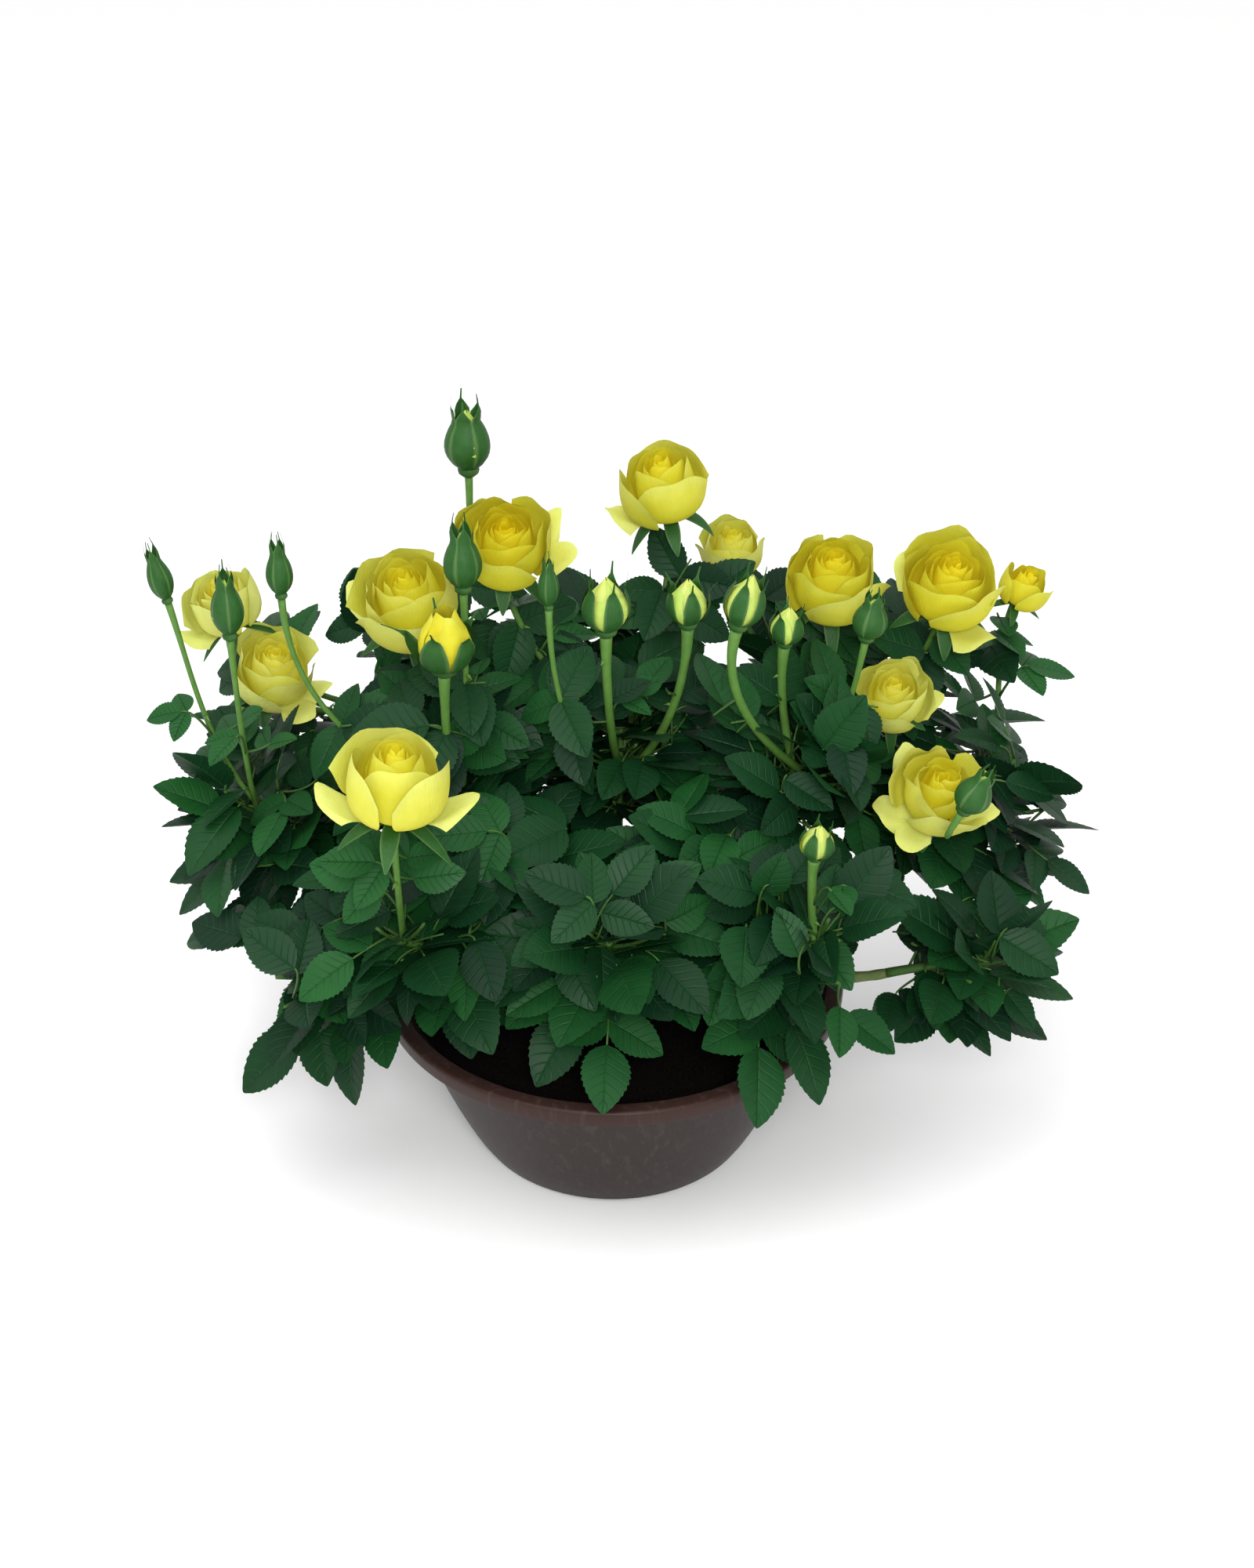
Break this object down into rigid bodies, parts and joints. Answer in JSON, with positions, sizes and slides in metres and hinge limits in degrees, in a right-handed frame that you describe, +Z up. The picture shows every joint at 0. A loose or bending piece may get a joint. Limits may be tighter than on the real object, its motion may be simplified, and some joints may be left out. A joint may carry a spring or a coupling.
{
  "type": "potted patio rose bush",
  "caption": "Low, spreading rose bush with yellow blooms and closed buds, growing in a round plastic bowl that stands on its flat underside.",
  "frame": {"origin": "centre of the bowl's flat underside", "axes": "+Z up, -Y the plant's front, +X its right-hand side seen from the front, along the widest spread of the leaves"},
  "size_m": [0.5656, 0.4013, 0.4482],
  "materials": {
    "plastic": "satin moulded plastic, dark brown",
    "compost": "moist crumbly potting compost",
    "bark": "ridged green-brown rose bark",
    "foliage": "glossy dark green leaves with yellow blooms"
  },
  "bodies": {
    "root": {"bowl": "plastic", "soil": "compost", "crown": "bark", "cane_front_left": "bark", "foliage_front_left": "foliage", "cane_front_middle": "bark", "foliage_front_middle": "foliage", "cane_front_right": "bark", "foliage_front_right": "foliage", "cane_inner_left": "bark", "foliage_inner_left": "foliage", "cane_inner_right": "bark", "foliage_inner_right": "foliage", "cane_low_left": "bark", "foliage_low_left": "foliage", "cane_low_right": "bark", "foliage_low_right": "foliage", "cane_side_left": "bark", "foliage_side_left": "foliage", "cane_side_right": "bark", "foliage_side_right": "foliage", "cane_upper_left": "bark", "foliage_upper_left": "foliage", "cane_upper_middle": "bark", "foliage_upper_middle": "foliage", "cane_upper_right": "bark", "foliage_upper_right": "foliage", "cane_back_left": "bark", "foliage_back_left": "foliage", "cane_back_middle": "bark", "foliage_back_middle": "foliage", "cane_back_right": "bark", "foliage_back_right": "foliage", "cane_rear_left": "bark", "foliage_rear_left": "foliage", "cane_rear_right": "bark", "foliage_rear_right": "foliage"}
  },
  "joints": []
}
